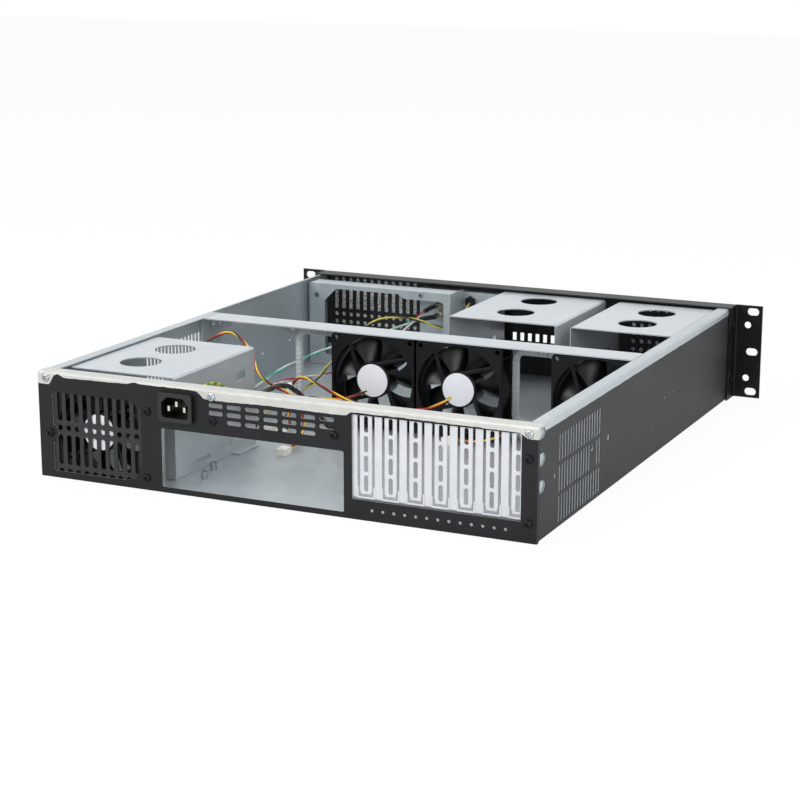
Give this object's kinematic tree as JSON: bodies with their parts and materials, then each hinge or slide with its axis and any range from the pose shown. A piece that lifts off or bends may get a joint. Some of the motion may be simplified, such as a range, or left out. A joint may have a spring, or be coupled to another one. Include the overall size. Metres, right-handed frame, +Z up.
{
  "type": "empty rackmount server case",
  "caption": "Open rackmount server case without its lid: folded steel tray with fan wall, drive cages, power inlet and blanked expansion slots.",
  "frame": {"origin": "middle of the case's footprint, on the surface it stands on", "axes": "+Z up; the front with its rack ears faces -Y and the rear panel faces +Y"},
  "size_m": [0.4826, 0.513, 0.0881],
  "materials": {
    "black_paint": "satin powder coat",
    "black_zinc": "black zinc plate",
    "bright_steel": "bright plated",
    "bright_zinc": "bright zinc plate",
    "button_plastic": "matte",
    "connector_nylon": "nylon",
    "fan_plastic": "fine texture",
    "filter_foam": "open fibre",
    "filter_plastic": "matte",
    "galvanised": "galvanised sheet",
    "inlet_plastic": "matte",
    "nickel": "nickel plate",
    "trim_plastic": "matte",
    "wire_coloured": "pvc insulation",
    "wire_dark": "pvc sleeve"
  },
  "bodies": {
    "case": {"base_tray": "galvanised", "board_standoffs": "bright_steel", "connector_fan_2_pair": "connector_nylon", "connector_fan_leads": "connector_nylon", "connector_mains": "connector_nylon", "connector_panel_leads": "connector_nylon", "drive_cage_centre": "galvanised", "drive_cage_right": "galvanised", "ear_left": "black_paint", "ear_right": "black_paint", "ear_screws": "black_zinc", "edge_trim_left": "trim_plastic", "edge_trim_right": "trim_plastic", "fan_1_frame": "fan_plastic", "fan_2_frame": "fan_plastic", "fan_3_frame": "fan_plastic", "fan_grille_plate": "black_paint", "fan_wall": "galvanised", "filter_frame_left": "filter_plastic", "filter_frame_right": "filter_plastic", "filter_pad_left": "filter_foam", "filter_pad_right": "filter_foam", "front_bracket": "galvanised", "front_panel": "black_paint", "indicator_lamp": "button_plastic", "lead_fan_1": "wire_coloured", "lead_fan_2": "wire_coloured", "lead_fan_3": "wire_coloured", "lead_inlet_earth": "wire_dark", "lead_lamp": "wire_coloured", "lead_mains": "wire_dark", "lead_power": "wire_coloured", "lead_rear_fan": "wire_coloured", "lead_reset": "wire_coloured", "power_inlet_housing": "inlet_plastic", "power_inlet_pins": "nickel", "power_switch_body": "nickel", "psu_cage": "galvanised", "rear_corner_bracket_left": "galvanised", "rear_corner_bracket_right": "galvanised", "rear_fan_frame": "fan_plastic", "rear_panel": "black_paint", "rear_screws": "black_zinc", "reset_switch_body": "nickel", "slot_cover_1": "bright_zinc", "slot_cover_2": "bright_zinc", "slot_cover_3": "bright_zinc", "slot_cover_4": "bright_zinc", "slot_cover_5": "bright_zinc", "slot_cover_6": "bright_zinc", "slot_cover_7": "bright_zinc", "slot_frame": "galvanised", "switch_bracket": "galvanised", "top_edge_screws": "bright_steel"},
    "rear_fan_rotor": {"rear_fan_rotor": "fan_plastic"},
    "fan_1_rotor": {"fan_1_rotor": "fan_plastic"},
    "fan_2_rotor": {"fan_2_rotor": "fan_plastic"},
    "fan_3_rotor": {"fan_3_rotor": "fan_plastic"},
    "power_button": {"power_button": "button_plastic"},
    "reset_button": {"reset_button": "button_plastic"}
  },
  "joints": [
    {"name": "rear_fan_rotor_spin", "type": "hinge", "parent": "case", "child": "rear_fan_rotor", "pos_m": [0.16, 0.2375, 0.0413], "axis": [0, 1, 0], "continuous": true},
    {"name": "fan_1_rotor_spin", "type": "hinge", "parent": "case", "child": "fan_1_rotor", "pos_m": [0.0345, -0.0005, 0.0457], "axis": [0, 1, 0], "continuous": true},
    {"name": "fan_2_rotor_spin", "type": "hinge", "parent": "case", "child": "fan_2_rotor", "pos_m": [-0.0475, -0.0005, 0.0457], "axis": [0, 1, 0], "continuous": true},
    {"name": "fan_3_rotor_spin", "type": "hinge", "parent": "case", "child": "fan_3_rotor", "pos_m": [-0.1725, -0.0005, 0.0457], "axis": [0, 1, 0], "continuous": true},
    {"name": "power_button_press", "type": "slide", "parent": "case", "child": "power_button", "axis": [0, 1, 0], "range_m": [0, 0.0012], "stiffness_N_per_m": 900, "springref_m": -0.001},
    {"name": "reset_button_press", "type": "slide", "parent": "case", "child": "reset_button", "axis": [0, 1, 0], "range_m": [0, 0.0012], "stiffness_N_per_m": 900, "springref_m": -0.001}
  ]
}
